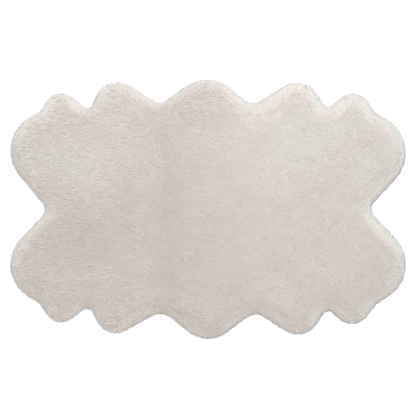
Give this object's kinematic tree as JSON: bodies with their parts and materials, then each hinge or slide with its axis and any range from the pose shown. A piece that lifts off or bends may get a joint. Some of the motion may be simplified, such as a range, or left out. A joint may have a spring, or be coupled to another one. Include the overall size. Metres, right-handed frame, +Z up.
{
  "type": "faux fur rug",
  "caption": "Flat faux fur rug of pale warm grey pile cloth with a lobed, scalloped edge and soft locks of fur round its rim.",
  "frame": {"origin": "middle of the rug's box, on the floor that its flat underside lies on", "axes": "+X along the rug's length, +Y along its width, +Z up out of the pile"},
  "size_m": [1.8318, 1.2018, 0.03],
  "materials": {
    "fur": "soft plush fur pile, pale warm grey, matt with a faint sheen"
  },
  "bodies": {
    "root": {"rug": "fur"}
  },
  "joints": []
}
